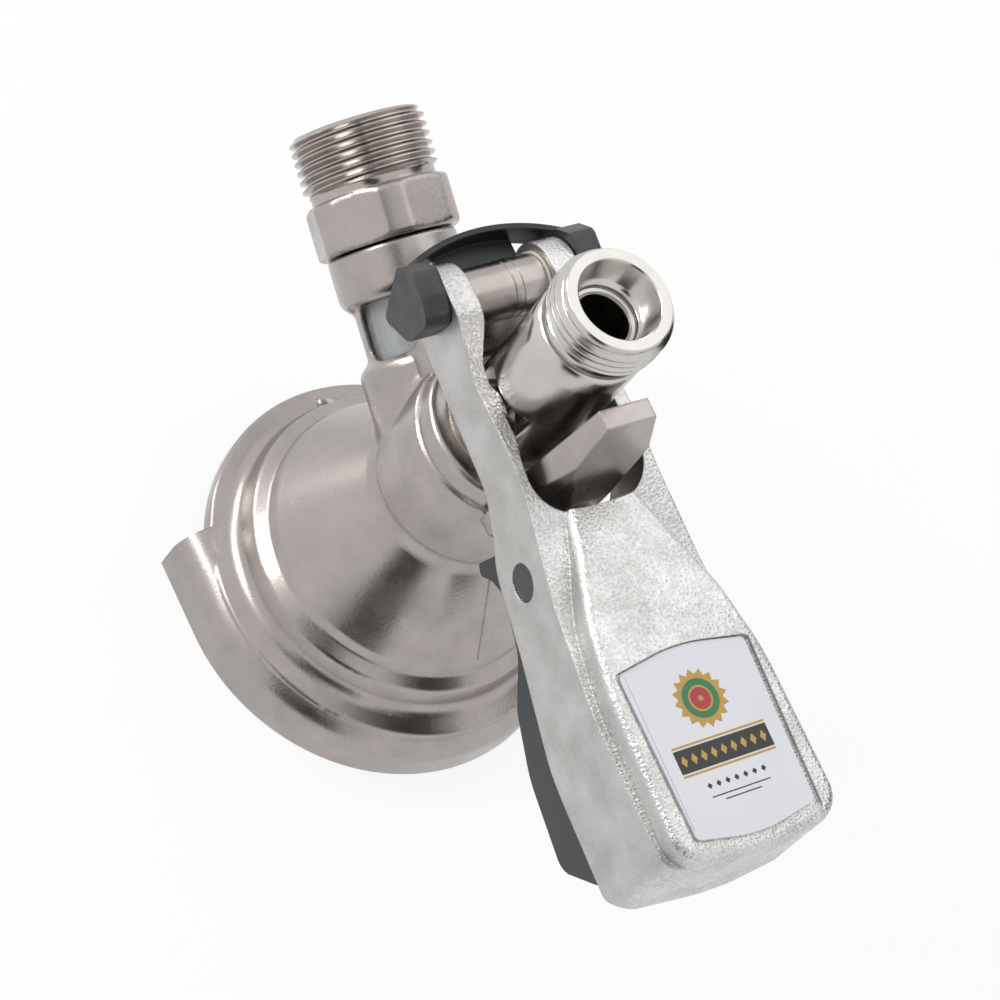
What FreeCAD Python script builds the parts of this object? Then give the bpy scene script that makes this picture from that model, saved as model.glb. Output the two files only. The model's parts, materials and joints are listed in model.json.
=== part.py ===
import FreeCAD, Part
import math
import os
import Sketcher
from types import SimpleNamespace

Vector = FreeCAD.Vector

# A flat-type keg coupler with a lever handle.
# Millimetres and degrees. +Z runs up the probe, +X points along the lever,
# Y is the lever's hinge. The origin is on the probe's axis, at the foot's base.

SIZES = {
    # Slide foot that hooks under the keg's flange
    "rail_height": 4.0,
    "channel_top": 9.2,
    "channel_half_width": 35.2,
    "rail_half_gap": 31.4,
    "skirt_radius": 40.9,
    "skirt_shoulder_level": 12.4,
    "skirt_shoulder": 6.4,
    "skirt_end": 16.0,
    "skirt_top": 13.4,
    "disc_radius": 38.2,
    "disc_edge_top": 12.6,
    "disc_top": 14.2,
    # Stepped bell above the foot
    "ring_radius": 32.0,
    "ring_edge_top": 19.6,
    "ring_inner_radius": 29.4,
    "ring_inner_top": 21.4,
    "cone_base_radius": 28.7,
    "cone_base_level": 23.6,
    "cone_top_radius": 16.8,
    "cone_top_level": 43.4,
    "collar_radius": 17.5,
    "cone_flare": 6.0,
    "collar_bottom": 46.8,
    "collar_top": 65.8,
    "rim_radius": 16.8,
    "rim_top": 71.5,
    "guide_radius": 12.9,
    "guide_top": 74.0,
    # Bores of the body
    "chamber_radius": 14.2,
    "chamber_top": 34.0,
    "seal_seat_radius": 23.6,
    "seal_seat_top": 12.4,
    "body_bore_radius": 11.5,
    "bush_seat_radius": 12.1,
    "bush_seat_level": 71.6,
    # Keg seal
    "keg_seal_lip": 1.4,
    "seat_gap": 0.1,
    # Probe
    "probe_radius": 10.9,
    "probe_shoulder": 107.4,
    "outlet_thread_radius": 11.455,
    "outlet_thread_bottom": 109.4,
    "outlet_thread_top": 116.6,
    "mouth_radius": 10.4,
    "mouth_level": 118.5,
    "mouth_bore_radius": 7.9,
    "mouth_bore_depth": 8.5,
    "probe_bore_radius": 5.2,
    "probe_step_level": 52.0,
    "stem_radius": 8.4,
    "stem_bottom": 6.8,
    "tip_radius": 6.6,
    "tip_bottom": 1.0,
    "tip_seal_radius": 10.6,
    "tip_seal_bottom": 3.2,
    "tip_ring_radius": 9.0,
    "o_ring_level": 55.6,
    "o_ring_wire": 1.15,
    "running_gap": 0.05,
    "press_gap": 0.02,
    "drive_slot_depth": 2.0,
    "drive_slot_gap": 0.35,
    # Gas inlet branch, along its own rising axis
    "gas_rise": 16.8,
    "gas_level": 46.8,
    "branch_radius": 12.9,
    "branch_end": 24.0,
    "branch_blend": 2.3,
    "branch_lip": 2.0,
    "neck_lip": 3.0,
    "waist_radius": 10.5,
    "waist_start": 26.2,
    "waist_end": 35.4,
    "neck_radius": 12.6,
    "neck_start": 37.6,
    "neck_end": 46.4,
    "sight_bore_radius": 9.4,
    "sight_bore_start": 20.8,
    "gas_hole_radius": 3.6,
    "gas_hole_start": 10.0,
    "window_start": 25.4,
    "window_end": 36.6,
    "window_half_width": 6.6,
    "window_tilt": 33.0,
    "window_corner": 3.2,
    # Sight tube and its seals
    "sight_tube_radius": 9.2,
    "sight_tube_wall": 1.9,
    "sight_seal_height": 1.6,
    "stack_gap": 0.05,
    "sight_tube_length": 14.6,
    # Gas nipple
    "nipple_hex": 26.6,
    "nipple_hex_corner": 28.4,
    "nipple_hex_start": 46.6,
    "nipple_hex_end": 56.9,
    "gas_thread_radius": 13.22,
    "gas_thread_start": 58.2,
    "gas_thread_end": 70.4,
    "nipple_undercut_radius": 12.2,
    "nipple_spigot_radius": 9.3,
    "nipple_bore_radius": 7.2,
    "nipple_ring_groove": 43.2,
    "nipple_ring_wire": 0.9,
    "valve_seat_radius": 8.6,
    "valve_seat_depth": 12.0,
    "valve_wall": 1.0,
    "valve_flange": 2.0,
    "valve_throat": 3.0,
    "valve_tip": 5.5,
    "valve_lip_width": 2.4,
    "valve_tip_radius": 1.2,
    "valve_hole_radius": 0.4,
    # Hinge of the lever
    "hinge_back": 20.5,
    "hinge_level": 84.7,
    "barrel_radius": 5.4,
    "barrel_half_length": 8.4,
    "post_back": 26.6,
    "post_front": 13.4,
    "post_bottom": 56.0,
    "hinge_pin_radius": 2.5,
    "washer_thickness": 0.5,
    "washer_gap": 0.05,
    "hinge_pin_overhang": 1.8,
    # Latch post in front of the probe
    "latch_back": 14.3,
    "latch_front": 22.3,
    "latch_foot_front": 20.8,
    "latch_ledge": 64.6,
    "latch_bend": 82.0,
    "latch_top": 105.1,
    "latch_top_front": 18.1,
    "latch_half_width": 11.6,
    "latch_side_front": 17.8,
    "latch_ridge": 4.2,
    "latch_top_half_width": 5.3,
    "latch_edge": 0.9,
    # Lever
    "eye_radius": 7.2,
    "arm_half_width": 14.5,
    "arm_top": 87.0,
    "arm_top_start": -4.0,
    "arm_top_end": 13.0,
    "arm_base_start": 76.0,
    "arm_base_end": 74.6,
    "arm_end": 20.0,
    "grip_start": 62.0,
    "arm_gap_half": 11.6,
    "fork_front": 24.8,
    "fork_half_width": 12.7,
    "fork_corner": 8.5,
    "lever_end": 91.4,
    "lever_bulge": 1.8,
    "lever_half_width": 19.0,
    "lever_wall": 2.6,
    "lever_shoulder_top": 80.4,
    "lever_shoulder_start": 40.0,
    "cheek_x": 26.0,
    "cheek_level": 67.0,
    "grip_base_x": 42.0,
    "grip_base_level": 64.8,
    "grip_middle_x": 66.0,
    "grip_middle_level": 60.0,
    "lever_base": 58.2,
    "hollow_start": 26.8,
    "hollow_top": 77.6,
    "hub_room_top": 79.6,
    "hub_room_end": 39.5,
    "panel_top": 86.9,
    "panel_edge": 1.8,
    "panel_end_top": 85.2,
    "panel_half_width": 18.4,
    "panel_overhang": 0.6,
    "panel_neck_half_width": 7.6,
    "panel_neck_x": 33.0,
    "panel_shoulder_x": 46.0,
    "panel_side_x": 60.0,
    "panel_hollow_top": 82.4,
    "panel_hollow_half_width": 12.4,
    "panel_hollow_start": 46.0,
    "label_start": 56.4,
    "label_length": 32.4,
    "label_half_width": 14.0,
    "label_end_half_width": 13.2,
    "label_bulge": 1.9,
    "label_arc": 28.0,
    "label_corner": 1.2,
    "label_depth": 1.0,
    "label_thickness": 0.6,
    "label_gap": 0.15,
    "label_side_margin": 0.9,
    "label_foot_margin": 1.9,
    # Drive studs between lever and probe
    "stud_forward": 21.2,
    "stud_drop": 2.8,
    "stud_radius": 5.7,
    "stud_shank_radius": 2.8,
    "stud_shank_length": 2.4,
    # Trigger
    "trigger_pivot_x": 31.4,
    "trigger_pivot_level": 74.5,
    "trigger_pin_radius": 3.6,
    "trigger_pin_half_length": 15.4,
    "trigger_half_width": 11.5,
    "trigger_hub_radius": 4.2,
    "trigger_nose_x": 21.6,
    "trigger_nose_top": 63.9,
    "trigger_slot_half": 4.2,
    "trigger_tail_x": 84.2,
    "trigger_tail_level": 61.0,
    "trigger_heel_x": 75.6,
    "trigger_heel_level": 37.2,
    "trigger_palm_x": 58.0,
    "trigger_palm_level": 41.0,
    "trigger_bend_x": 46.5,
    "trigger_bend_level": 47.2,
    "trigger_throat_x": 38.6,
    "trigger_throat_level": 56.2,
    "trigger_wall": 2.4,
    "spring_radius": 5.9,
    "spring_half_length": 3.7,
    # Clip over the hinge
    "clip_cap_thickness": 5.4,
    "clip_gap": 0.3,
    "clip_strap_radius": 39.9,
    "clip_strap_back": 32.0,
    "clip_strap_thickness": 1.1,
    "clip_strap_setback": 6.0,
    "clip_strap_bottom": 82.6,
    "clip_strap_top": 88.4,
    "clip_web_thickness": 1.4,
}


class Size:
    """A number together with the sheet formula that gives it."""

    def __init__(self, value, formula):
        self.value = value
        self.formula = formula

    def joined(self, sign, other, value):
        return Size(value, "(%s %s %s)" % (self.formula, sign, other.formula))

    def __add__(self, other):
        other = as_size(other)
        return self.joined("+", other, self.value + other.value)

    def __sub__(self, other):
        other = as_size(other)
        return self.joined("-", other, self.value - other.value)

    def __mul__(self, other):
        other = as_size(other)
        return self.joined("*", other, self.value * other.value)

    def __truediv__(self, other):
        other = as_size(other)
        return self.joined("/", other, self.value / other.value)

    def __neg__(self):
        return as_size(0) - self

    def __radd__(self, other):
        return as_size(other) + self

    def __rsub__(self, other):
        return as_size(other) - self

    def __rmul__(self, other):
        return as_size(other) * self


def as_size(number):
    if isinstance(number, Size):
        return number
    return Size(float(number), "(%r)" % float(number))


doc = FreeCAD.newDocument("KegCoupler")
sheet = doc.addObject("Spreadsheet::Sheet", "Sizes")
for row, (alias, number) in enumerate(SIZES.items(), start=1):
    sheet.set("A%d" % row, alias)
    sheet.set("B%d" % row, str(number))
    sheet.setAlias("B%d" % row, alias)
doc.recompute()
S = SimpleNamespace(**{alias: Size(number, "Sizes." + alias) for alias, number in SIZES.items()})
parts = []


def new_body(label):
    body = doc.addObject("PartDesign::Body", label)
    body.Label = label
    parts.append(body)
    return body


def origin_plane(body, role):
    return [item for item in body.Origin.OriginFeatures if item.Role == role][0]


def new_sketch(body, role, lift=None, offset=None):
    """An empty sketch on one of the body's planes, lifted along its normal or moved by an offset."""
    sketch = body.newObject("Sketcher::SketchObject", "Outline")
    sketch.AttachmentSupport = [(origin_plane(body, role), "")]
    sketch.MapMode = "FlatFace"
    if lift is not None:
        sketch.AttachmentOffset = FreeCAD.Placement(Vector(0, 0, as_size(lift).value), FreeCAD.Rotation())
        sketch.setExpression("AttachmentOffset.Base.z", as_size(lift).formula)
    if offset is not None:
        sketch.AttachmentOffset = offset
    return sketch


def tie(sketch, kind, numbers, size):
    """Adds a dimension and ties it to its formula."""
    size = as_size(size)
    index = sketch.addConstraint(Sketcher.Constraint(kind, *numbers, size.value))
    sketch.setExpression("Constraints[%d]" % index, size.formula)


def corner_arc(before, corner, after, radius):
    """The points where a rounding of this radius leaves its two sides, and its centre."""
    back = (before - corner).normalize()
    ahead = (after - corner).normalize()
    half_angle = back.getAngle(ahead) / 2
    reach = radius / math.tan(half_angle)
    middle = (back + ahead).normalize()
    centre = corner + middle * (radius / math.sin(half_angle))
    return corner + back * reach, corner + ahead * reach, centre


def arc_between(start, end, centre, radius):
    """The short arc, with a flag that says whether it runs from start to end."""
    first = math.atan2(start.y - centre.y, start.x - centre.x)
    last = math.atan2(end.y - centre.y, end.x - centre.x)
    forward = (last - first) % (2 * math.pi) < math.pi
    if not forward:
        first, last = last, first
    circle = Part.Circle(centre, Vector(0, 0, 1), radius)
    return Part.ArcOfCircle(circle, first, last if last > first else last + 2 * math.pi), forward


def outline(sketch, corners):
    """Draws a closed outline through corners (x, y) or (x, y, rounding), all tied to their formulas."""
    points = [Vector(as_size(c[0]).value, as_size(c[1]).value, 0) for c in corners]
    count = len(corners)
    ends = []
    for i in range(count):
        if len(corners[i]) == 3:
            radius = as_size(corners[i][2]).value
            ends.append(corner_arc(points[i - 1], points[i], points[(i + 1) % count], radius))
        else:
            ends.append((points[i], points[i], None))
    first = sketch.GeometryCount
    for i in range(count):
        sketch.addGeometry(Part.LineSegment(ends[i][1], ends[(i + 1) % count][0]))
    for i in range(count):
        line_in = first + (i - 1) % count
        line_out = first + i
        if len(corners[i]) == 2:
            sketch.addConstraint(Sketcher.Constraint("Coincident", line_in, 2, line_out, 1))
            tie(sketch, "DistanceX", (-1, 1, line_out, 1), corners[i][0])
            tie(sketch, "DistanceY", (-1, 1, line_out, 1), corners[i][1])
            continue
        radius = as_size(corners[i][2]).value
        curve, forward = arc_between(ends[i][0], ends[i][1], ends[i][2], radius)
        arc = sketch.addGeometry(curve)
        point = sketch.addGeometry(Part.Point(points[i]), True)
        sketch.addConstraint(Sketcher.Constraint("Tangent", line_in, 2, arc, 1 if forward else 2))
        sketch.addConstraint(Sketcher.Constraint("Tangent", line_out, 1, arc, 2 if forward else 1))
        sketch.addConstraint(Sketcher.Constraint("PointOnObject", point, 1, line_in))
        sketch.addConstraint(Sketcher.Constraint("PointOnObject", point, 1, line_out))
        tie(sketch, "DistanceX", (-1, 1, point, 1), corners[i][0])
        tie(sketch, "DistanceY", (-1, 1, point, 1), corners[i][1])
        tie(sketch, "Radius", (arc,), corners[i][2])
    return sketch


def rounding(body, radius, wanted):
    """Rounds the edges of the body so far that a test on their bounding box picks out."""
    doc.recompute()
    base = body.Tip
    boxes = [None if edge.Degenerated else edge.BoundBox for edge in base.Shape.Edges]
    names = ["Edge%d" % number for number, box in enumerate(boxes, start=1) if box and wanted(box)]
    feature = body.newObject("PartDesign::Fillet", "Rounding")
    feature.Base = (base, names)
    feature.Radius = radius.value
    feature.setExpression("Radius", radius.formula)
    return feature


def circle(sketch, x, y, radius):
    """Draws a circle tied to its centre and radius."""
    centre = Vector(as_size(x).value, as_size(y).value, 0)
    ring = sketch.addGeometry(Part.Circle(centre, Vector(0, 0, 1), as_size(radius).value))
    tie(sketch, "DistanceX", (-1, 1, ring, 3), x)
    tie(sketch, "DistanceY", (-1, 1, ring, 3), y)
    tie(sketch, "Radius", (ring,), radius)
    return sketch


def mirrored(corners):
    """Completes half an outline, given along +x with y above 0, by its mirror image below."""
    return corners + [(c[0], -as_size(c[1])) + tuple(c[2:]) for c in reversed(corners)]


def turned(body, kind, sketch, axis, angle, backwards):
    feature = body.newObject(kind, "Turned")
    feature.Profile = sketch
    feature.ReferenceAxis = (sketch, [axis])
    feature.Angle = angle
    feature.Reversed = backwards
    return feature


def revolve(body, sketch, axis="V_Axis", angle=360, backwards=False):
    return turned(body, "PartDesign::Revolution", sketch, axis, angle, backwards)


def groove(body, sketch, axis="V_Axis"):
    return turned(body, "PartDesign::Groove", sketch, axis, 360, False)


def pad(body, sketch, length, symmetric=False, backwards=False):
    feature = body.newObject("PartDesign::Pad", "Pad")
    feature.Profile = sketch
    feature.SideType = "Symmetric" if symmetric else "One side"
    feature.Reversed = backwards
    feature.Length = as_size(length).value
    feature.setExpression("Length", as_size(length).formula)
    return feature


def pocket(body, sketch, length, symmetric=False, upwards=False):
    """Cuts against the sketch's normal, or along it where upwards is set."""
    feature = body.newObject("PartDesign::Pocket", "Pocket")
    feature.Profile = sketch
    feature.SideType = "Symmetric" if symmetric else "One side"
    feature.Reversed = upwards
    feature.Length = as_size(length).value
    feature.setExpression("Length", as_size(length).formula)
    return feature


def turned_piece(label, corners):
    """A piece turned about its own Z axis from an outline of (radius, height) corners."""
    body = new_body(label)
    revolve(body, outline(new_sketch(body, "XZ_Plane"), corners))
    return body


def o_ring(label, radius, level, wire):
    body = new_body(label)
    revolve(body, circle(new_sketch(body, "XZ_Plane"), radius, level, wire))
    return body


def tube_corners(inner, outer, bottom, top):
    return [(inner, bottom), (outer, bottom), (outer, top), (inner, top)]


def along_gas_axis(body):
    """Lays a piece that was built along its own Z axis on the gas inlet's axis."""
    upright = FreeCAD.Rotation(Vector(0, -1, 0), 90 - S.gas_rise.value)
    body.Placement = FreeCAD.Placement(Vector(0, 0, S.gas_level.value), upright)
    body.setExpression("Placement.Base.z", S.gas_level.formula)
    body.setExpression("Placement.Rotation.Angle", (90 - S.gas_rise).formula)


def gas_sketch(body, roll=0):
    """A sketch whose x axis is the gas inlet's axis, rolled about it."""
    slope = FreeCAD.Rotation(Vector(0, 0, 1), 180 - S.gas_rise.value)
    spin = FreeCAD.Rotation(Vector(1, 0, 0), roll)
    place = FreeCAD.Placement(Vector(0, S.gas_level.value, 0), slope * spin)
    return new_sketch(body, "XZ_Plane", offset=place)


def body_casting():
    body = new_body("body_casting")
    bell_and_collar(body)
    slide_skirt(body)
    hinge_post(body)
    gas_branch(body)
    branch_blend(body)
    latch_post(body)
    body_bores(body)


def bell_and_collar(body):
    corners = [
        (0, S.channel_top),
        (S.disc_radius, S.channel_top),
        (S.disc_radius, S.disc_edge_top, 1.0),
        (S.ring_radius + 1.2, S.disc_top, 3.2),
        (S.ring_radius, S.ring_edge_top, 1.4),
        (S.ring_inner_radius, S.ring_inner_top, 1.0),
        (S.cone_base_radius, S.cone_base_level, 1.6),
        (S.cone_top_radius, S.cone_top_level, S.cone_flare),
        (S.cone_top_radius, S.collar_bottom - 0.6),
        (S.collar_radius, S.collar_bottom, 0.5),
        (S.collar_radius, S.collar_top, 0.5),
        (S.rim_radius, S.collar_top + 0.5),
        (S.rim_radius, S.rim_top, 1.2),
        (S.guide_radius, S.rim_top),
        (S.guide_radius, S.guide_top, 0.4),
        (0, S.guide_top),
    ]
    revolve(body, outline(new_sketch(body, "XZ_Plane"), corners))


def skirt_section():
    """Section of the skirt with its rail, as (distance from the axis, height)."""
    return [
        (S.rail_half_gap - 1.0, S.channel_top),
        (S.channel_half_width, S.channel_top),
        (S.channel_half_width, S.rail_height),
        (S.rail_half_gap, S.rail_height),
        (S.rail_half_gap, 0),
        (S.skirt_radius, 0, 0.8),
        (S.skirt_radius, S.skirt_shoulder_level, S.skirt_shoulder),
        (S.rail_half_gap - 1.0, S.skirt_top + 0.2),
    ]


def slide_skirt(body):
    """The U-shaped skirt: round toward the lever, open toward the gas inlet."""
    front = outline(new_sketch(body, "YZ_Plane"), skirt_section())
    revolve(body, front, angle=180, backwards=True)
    near = outline(new_sketch(body, "YZ_Plane"), skirt_section())
    pad(body, near, S.skirt_end, backwards=True)
    far = outline(new_sketch(body, "YZ_Plane"), [(-as_size(c[0]),) + tuple(c[1:]) for c in skirt_section()])
    pad(body, far, S.skirt_end, backwards=True)


def hinge_post(body):
    back = -S.hinge_back
    corners = [
        (-S.post_back, S.post_bottom),
        (-S.post_front, S.post_bottom),
        (-S.post_front, S.rim_top + 3.0, 4.0),
        (back + S.barrel_radius * 0.8, S.hinge_level),
        (back - S.barrel_radius * 0.9, S.hinge_level),
        (-S.post_back, S.rim_top, 6.0),
    ]
    pad(body, outline(new_sketch(body, "XZ_Plane"), corners), 2 * S.barrel_half_length, symmetric=True)
    barrel = circle(new_sketch(body, "XZ_Plane"), back, S.hinge_level, S.barrel_radius)
    pad(body, barrel, 2 * S.barrel_half_length, symmetric=True)
    bore = circle(new_sketch(body, "XZ_Plane"), back, S.hinge_level, S.hinge_pin_radius + S.press_gap)
    pocket(body, bore, 2 * S.barrel_half_length + 2, symmetric=True)


def latch_post(body):
    """The faceted post in front of the probe, which the trigger's nose hooks under."""
    half = [
        (S.latch_back, S.latch_half_width),
        (S.latch_side_front, S.latch_half_width, S.latch_edge),
        (S.latch_front, S.latch_ridge, S.latch_edge),
    ]
    foot = new_sketch(body, "XY_Plane", lift=S.latch_ledge)
    pad(body, outline(foot, mirrored(half)), S.latch_top - S.latch_ledge)
    outside = S.latch_front + 3
    front = [
        (S.latch_foot_front, S.latch_ledge - 1),
        (S.latch_foot_front, S.latch_ledge),
        (S.latch_front, S.latch_bend, 6.0),
        (S.latch_top_front, S.latch_top + 0.1),
        (outside, S.latch_top + 0.1),
        (outside, S.latch_ledge - 1),
    ]
    pocket(body, outline(new_sketch(body, "XZ_Plane"), front), 3 * S.latch_half_width, symmetric=True)
    for side in (1, -1):
        taper = [
            (side * (S.latch_half_width + 0.2), S.latch_bend - 2, 3.0),
            (side * S.latch_top_half_width, S.latch_top + 0.1),
            (side * (S.latch_half_width + 3), S.latch_top + 0.1),
            (side * (S.latch_half_width + 3), S.latch_bend - 2),
        ]
        pocket(body, outline(new_sketch(body, "YZ_Plane"), taper), S.latch_front + 5, upwards=True)


def gas_branch(body):
    corners = [
        (4.0, 0),
        (4.0, S.branch_radius),
        (S.branch_end, S.branch_radius, S.branch_lip),
        (S.waist_start, S.waist_radius, S.branch_lip),
        (S.waist_end, S.waist_radius, S.branch_lip),
        (S.neck_start, S.neck_radius, S.neck_lip),
        (S.neck_end, S.neck_radius, 0.8),
        (S.neck_end, 0),
    ]
    revolve(body, outline(gas_sketch(body), corners), axis="H_Axis")


def branch_blend(body):
    """Blends the gas branch into the cone and the collar on both of its sides."""
    front = -S.cone_top_radius.value + 6
    back = -S.cone_base_radius.value
    bottom = S.cone_top_level.value - 6
    top = S.collar_top.value - 2

    def seam(box):
        along = back < box.XMin and box.XMax < front and bottom < box.ZMin and box.ZMax < top
        return along and box.YLength > 0.5 and box.ZLength > 0.5 and box.XLength > 0.1

    rounding(body, S.branch_blend, seam)


def body_bores(body):
    straight = [
        (0, S.channel_top - 1),
        (S.seal_seat_radius, S.channel_top - 1),
        (S.seal_seat_radius, S.seal_seat_top),
        (S.chamber_radius, S.seal_seat_top),
        (S.chamber_radius, S.chamber_top),
        (S.body_bore_radius, S.chamber_top + 5),
        (S.body_bore_radius, S.bush_seat_level),
        (S.bush_seat_radius, S.bush_seat_level),
        (S.bush_seat_radius, S.guide_top + 1),
        (0, S.guide_top + 1),
    ]
    groove(body, outline(new_sketch(body, "XZ_Plane"), straight))
    slanted = [
        (S.gas_hole_start, 0),
        (S.gas_hole_start, S.gas_hole_radius),
        (S.sight_bore_start, S.gas_hole_radius),
        (S.sight_bore_start, S.sight_bore_radius),
        (S.neck_end + 1, S.sight_bore_radius),
        (S.neck_end + 1, 0),
    ]
    groove(body, outline(gas_sketch(body), slanted), axis="H_Axis")
    for roll in (S.window_tilt.value, 180 - S.window_tilt.value):
        half = [
            (S.window_start, S.window_half_width, S.window_corner),
            (S.window_end, S.window_half_width, S.window_corner),
        ]
        window = outline(gas_sketch(body, roll), mirrored(half))
        pocket(body, window, S.branch_radius + 2, upwards=True)


def keg_seal():
    inner = S.chamber_radius + S.keg_seal_lip
    outer = S.seal_seat_radius - S.seat_gap
    top = S.seal_seat_top - S.seat_gap
    bottom = S.channel_top - 1.2
    turned_piece("keg_seal", [
        (inner, top),
        (inner, bottom + 1.0),
        (inner + 1.5, bottom, 0.6),
        (outer - 3.0, bottom, 0.6),
        (outer, S.channel_top),
        (outer, top),
    ])


def guide_bush():
    inner = S.probe_radius + S.running_gap
    outer = S.bush_seat_radius - S.running_gap
    bottom = S.bush_seat_level + S.running_gap
    turned_piece("guide_bush", tube_corners(inner, outer, bottom, S.guide_top))


def probe_tube():
    body = new_body("probe_tube")
    groove_radius = S.body_bore_radius - S.running_gap - 2 * S.o_ring_wire
    lip = S.o_ring_wire + 0.1
    corners = [
        (S.probe_bore_radius, S.tip_bottom),
        (S.tip_radius, S.tip_bottom, 0.4),
        (S.tip_radius, S.stem_bottom),
        (S.stem_radius, S.stem_bottom),
        (S.stem_radius, S.probe_step_level - 2.5, 1.0),
        (S.probe_radius, S.probe_step_level, 0.6),
        (S.probe_radius, S.o_ring_level - lip),
        (groove_radius, S.o_ring_level - lip),
        (groove_radius, S.o_ring_level + lip),
        (S.probe_radius, S.o_ring_level + lip),
        (S.probe_radius, S.probe_shoulder, 0.4),
        (S.probe_radius - 0.7, S.probe_shoulder),
        (S.probe_radius - 0.7, S.outlet_thread_bottom - 0.6),
        (S.outlet_thread_radius, S.outlet_thread_bottom),
        (S.outlet_thread_radius, S.outlet_thread_top),
        (S.mouth_radius, S.outlet_thread_top + 0.8),
        (S.mouth_radius, S.mouth_level, 0.4),
        (S.mouth_bore_radius, S.mouth_level, 0.3),
        (S.mouth_bore_radius, S.mouth_level - S.mouth_bore_depth + 1.5),
        (S.probe_bore_radius, S.mouth_level - S.mouth_bore_depth),
    ]
    revolve(body, outline(new_sketch(body, "XZ_Plane"), corners))
    centre = S.hinge_level - S.stud_drop
    half = S.stud_radius + S.drive_slot_gap
    flat = S.probe_radius - S.drive_slot_depth
    for side in (1, -1):
        slot = [
            (side * flat, centre - half),
            (side * (S.probe_radius + 2), centre - half),
            (side * (S.probe_radius + 2), centre + half),
            (side * flat, centre + half),
        ]
        cut = outline(new_sketch(body, "YZ_Plane"), slot)
        pocket(body, cut, 3 * S.probe_radius, symmetric=True)


def probe_seals():
    o_ring("probe_o_ring", S.body_bore_radius - S.running_gap - S.o_ring_wire, S.o_ring_level, S.o_ring_wire)
    inner = S.tip_radius + S.running_gap
    turned_piece("probe_tip_seal", [
        (inner, S.tip_seal_bottom + S.stack_gap),
        (S.tip_seal_radius - 1.4, S.tip_seal_bottom + S.stack_gap),
        (S.tip_seal_radius, S.tip_seal_bottom + 1.4, 0.6),
        (S.tip_seal_radius, S.stem_bottom - S.stack_gap, 0.6),
        (inner, S.stem_bottom - S.stack_gap),
    ])
    turned_piece("probe_tip_ring", [
        (inner, S.tip_bottom),
        (S.tip_ring_radius - 0.8, S.tip_bottom),
        (S.tip_ring_radius, S.tip_bottom + 0.8),
        (S.tip_ring_radius, S.tip_seal_bottom),
        (inner, S.tip_seal_bottom),
    ])


def sight_glass():
    """The clear tube and its two seals, stacked in the branch under the nipple's spigot."""
    outer = S.sight_tube_radius
    inner = outer - S.sight_tube_wall
    level = S.sight_bore_start + S.stack_gap
    heights = (
        ("sight_seal_lower", S.sight_seal_height),
        ("sight_tube", S.sight_tube_length),
        ("sight_seal_upper", S.sight_seal_height),
    )
    for label, height in heights:
        along_gas_axis(turned_piece(label, tube_corners(inner, outer, level, level + height)))
        level = level + height + S.stack_gap
    return level


def gas_nipple(spigot_end):
    body = new_body("gas_nipple")
    ring_in = S.sight_bore_radius - S.running_gap - 2 * S.nipple_ring_wire
    lip = S.nipple_ring_wire + 0.1
    corners = [
        (S.nipple_bore_radius, spigot_end),
        (S.nipple_spigot_radius, spigot_end),
        (S.nipple_spigot_radius, S.nipple_ring_groove - lip),
        (ring_in, S.nipple_ring_groove - lip),
        (ring_in, S.nipple_ring_groove + lip),
        (S.nipple_spigot_radius, S.nipple_ring_groove + lip),
        (S.nipple_spigot_radius, S.nipple_hex_start),
        (S.nipple_undercut_radius, S.nipple_hex_start),
        (S.nipple_undercut_radius, S.gas_thread_start),
        (S.gas_thread_radius, S.gas_thread_start + 0.8),
        (S.gas_thread_radius, S.gas_thread_end - 0.8),
        (S.gas_thread_radius - 0.8, S.gas_thread_end),
        (S.valve_seat_radius + 0.8, S.gas_thread_end),
        (S.valve_seat_radius, S.gas_thread_end - 0.8),
        (S.valve_seat_radius, S.gas_thread_end - S.valve_seat_depth),
        (S.nipple_bore_radius, S.gas_thread_end - S.valve_seat_depth),
    ]
    revolve(body, outline(new_sketch(body, "XZ_Plane"), corners))
    hexagon = hex_corners(S.nipple_hex)
    flats = outline(new_sketch(body, "XY_Plane", lift=S.nipple_hex_start), hexagon)
    circle(flats, 0, 0, S.nipple_undercut_radius - 0.5)
    pad(body, flats, S.nipple_hex_end - S.nipple_hex_start)
    trim_corners(body, S.nipple_hex_corner / 2, S.nipple_hex_start, S.nipple_hex_end)
    along_gas_axis(body)


def hex_corners(across_flats):
    reach = across_flats / math.sqrt(3)
    turns = [math.radians(angle) for angle in range(30, 390, 60)]
    return [(reach * math.sin(turn), reach * math.cos(turn)) for turn in turns]


def trim_corners(body, radius, bottom, top):
    """Turns the hexagon's corners down to a radius, with a chamfer at both ends."""
    chamfer = 1.0
    rim = radius + 4
    cut = [
        (radius - chamfer, bottom - 0.01),
        (radius, bottom + chamfer * 0.7),
        (radius, top - chamfer * 0.7),
        (radius - chamfer, top + 0.01),
        (rim, top + 0.01),
        (rim, bottom - 0.01),
    ]
    groove(body, outline(new_sketch(body, "XZ_Plane"), cut))


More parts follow.
